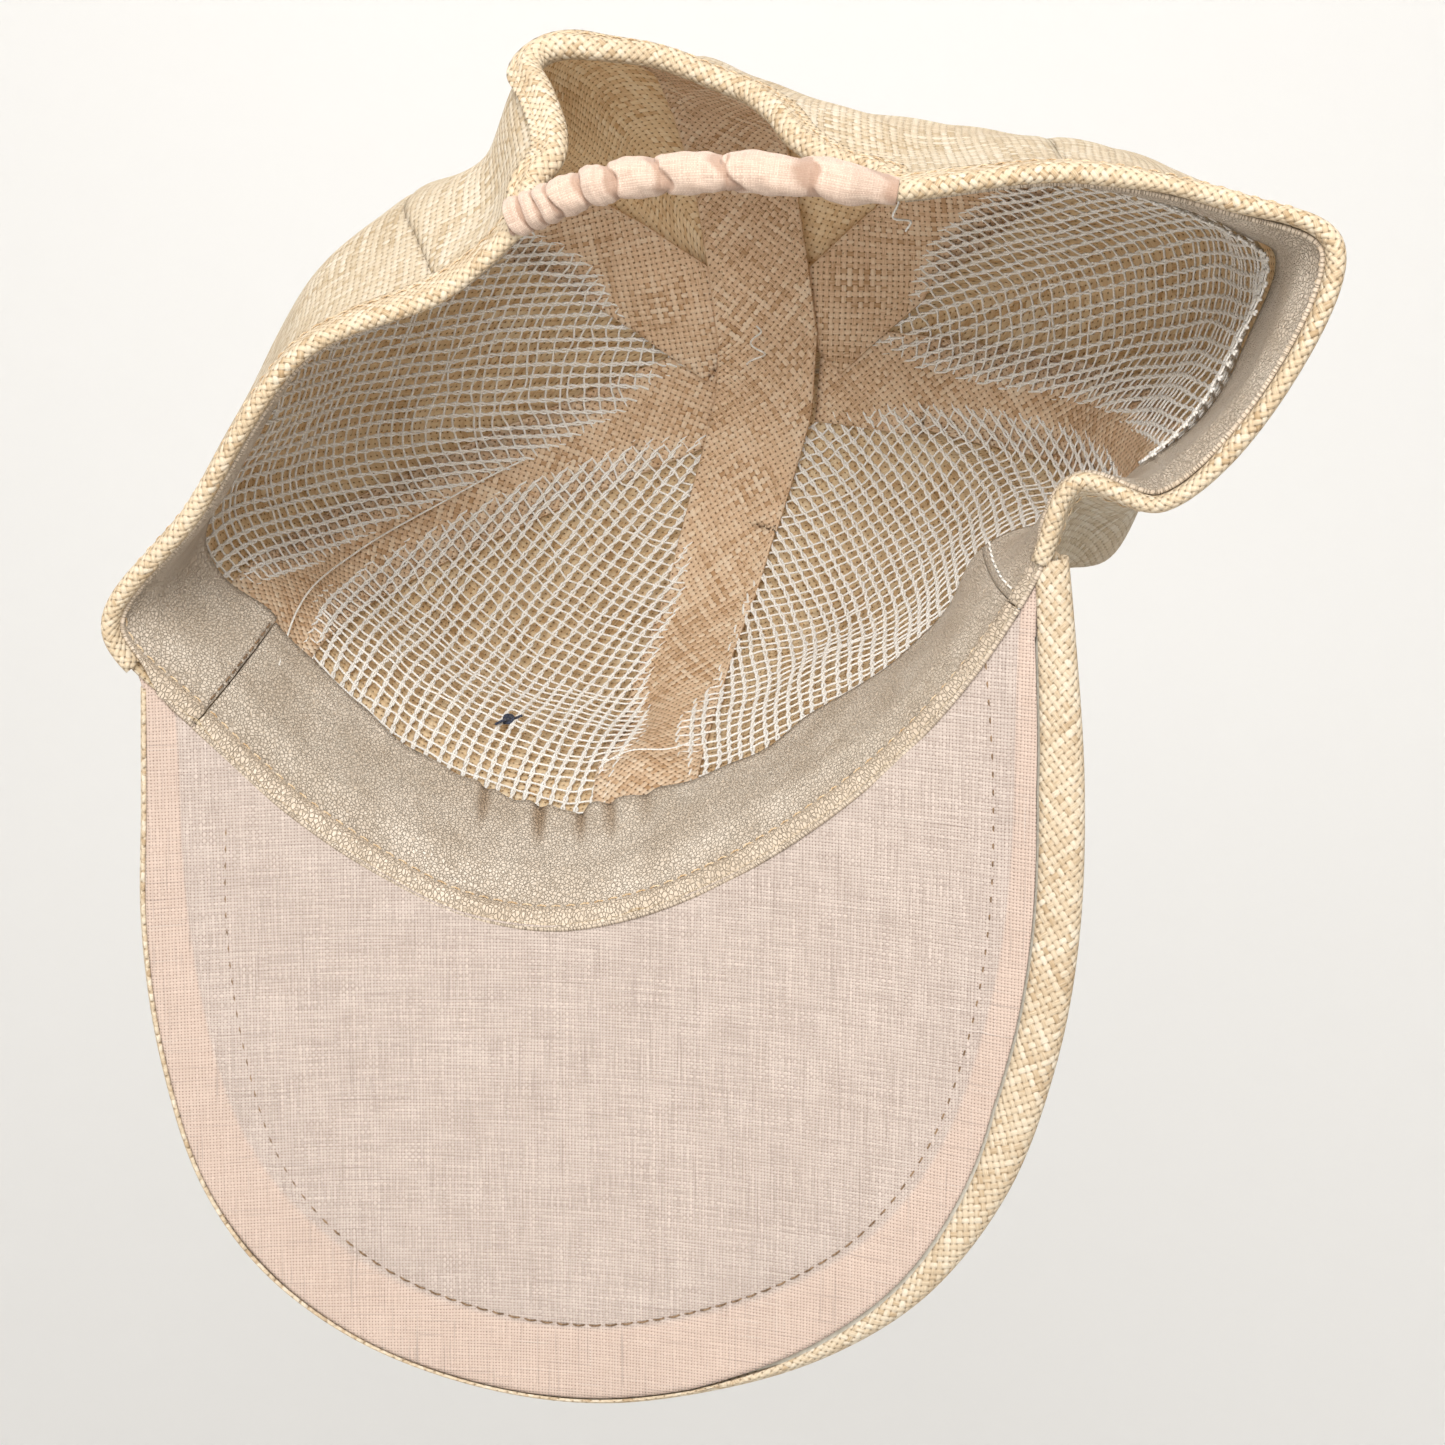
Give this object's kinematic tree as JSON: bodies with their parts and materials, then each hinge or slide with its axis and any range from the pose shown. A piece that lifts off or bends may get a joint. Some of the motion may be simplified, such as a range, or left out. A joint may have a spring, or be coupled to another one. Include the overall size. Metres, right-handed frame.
{
  "type": "peaked cap",
  "caption": "Soft panelled straw peaked cap with a long lined visor, a half-moon back opening on scrunched elastic, gauze nets, seam tapes and a sweatband.",
  "frame": {"origin": "middle of the head opening, at the rim's level", "axes": "+Z towards the top of the crown, -Y towards the visor, +X towards the wearer's left"},
  "size_m": [0.2228, 0.2583, 0.1363],
  "materials": {
    "straw": "plain-woven paper straw, pale yellow-beige, matt",
    "straw_tape": "bias-cut woven straw tape, warm tan, matt",
    "net": "open gauze of cream threads",
    "leatherette": "beige-grey fine-grained leatherette, half gloss",
    "linen": "linen-like plain weave, greyish-pink beige",
    "cotton": "thin cotton, pale pink-beige, scrunched",
    "elastic": "braided white elastic",
    "board": "stiff sheet, off-white"
  },
  "bodies": {
    "crown": {"arch_binding": "straw_tape", "crown_back_left": "straw", "crown_back_right": "straw", "crown_button": "straw", "crown_front_left": "straw", "crown_front_right": "straw", "crown_side_left": "straw", "crown_side_right": "straw", "elastic_casing": "cotton", "elastic_core": "elastic", "net_front_left": "net", "net_front_right": "net", "net_side_left": "net", "net_side_right": "net", "rim_binding_left": "straw_tape", "rim_binding_right": "straw_tape", "sweatband_front": "leatherette", "sweatband_left": "leatherette", "sweatband_right": "leatherette", "tape_back_left": "straw_tape", "tape_back_right": "straw_tape", "tape_centre": "straw_tape", "tape_front_left": "straw_tape", "tape_front_right": "straw_tape"},
    "visor": {"visor_board": "board", "visor_top_cover": "straw", "visor_under_cover": "linen"}
  },
  "joints": [
    {"name": "visor_fold", "type": "hinge", "parent": "crown", "child": "visor", "pos_m": [0.0215, -0.02, 0.004], "axis": [-0.9827, 0.1839, 0.023], "range_deg": [-10, 8], "stiffness_Nm_per_rad": 0.6}
  ]
}
